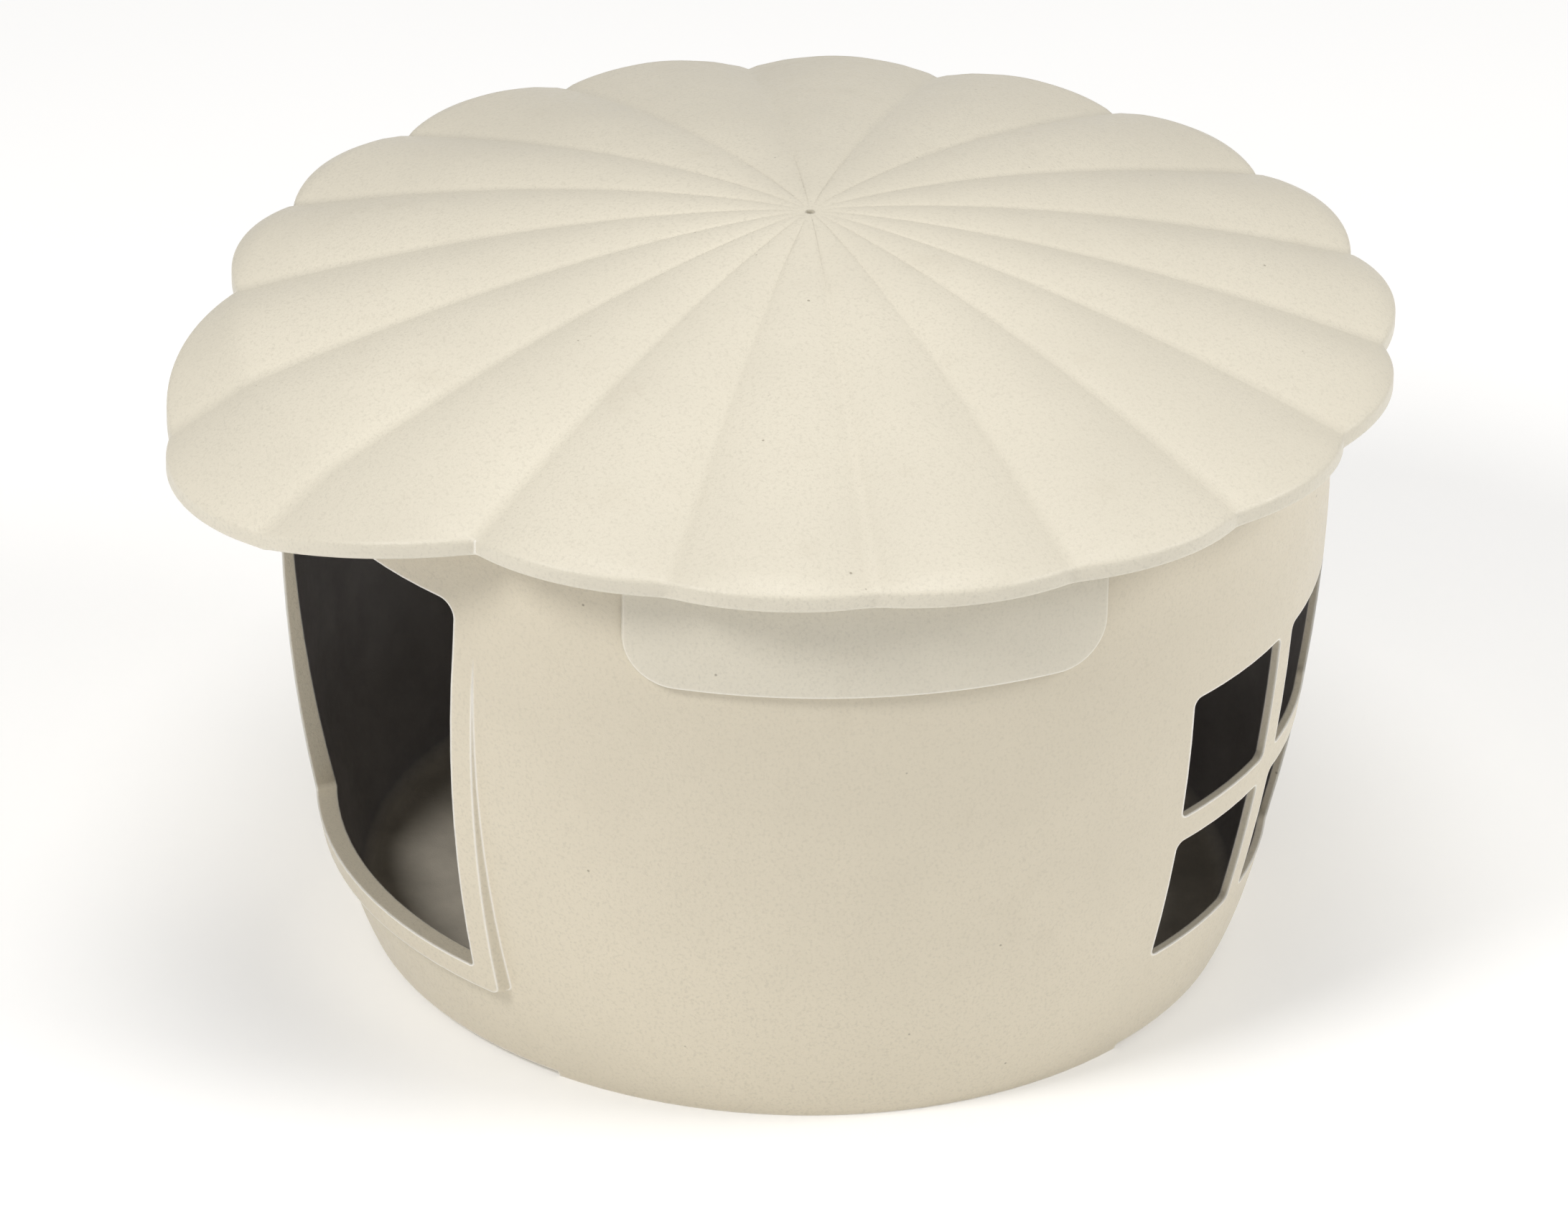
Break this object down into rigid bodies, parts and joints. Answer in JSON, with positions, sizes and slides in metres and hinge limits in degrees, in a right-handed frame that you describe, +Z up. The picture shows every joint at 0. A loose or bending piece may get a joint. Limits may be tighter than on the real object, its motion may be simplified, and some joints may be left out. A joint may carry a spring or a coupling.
{
  "type": "small animal house",
  "caption": "Round drafted plastic house for a small animal, with a wide doorway, windows with cross bars and a lift-off petal roof drawn out into a visor over the doorway",
  "frame": {"origin": "on the floor, under the middle of the roof's outline", "axes": "+Z up; -Y out of the doorway; +X to the right seen from in front of the doorway"},
  "size_m": [0.388, 0.421, 0.2596],
  "materials": {
    "tub_plastic": "fine-grained ivory moulding, satin",
    "roof_plastic": "fine-grained ivory moulding, satin, brighter along the rolled lip"
  },
  "bodies": {
    "tub": {"tub": "tub_plastic"},
    "roof": {"roof": "roof_plastic"}
  },
  "joints": [
    {"name": "roof_lift", "type": "slide", "parent": "tub", "child": "roof", "axis": [0, 0, 1], "range_m": [0, 0.08]}
  ]
}
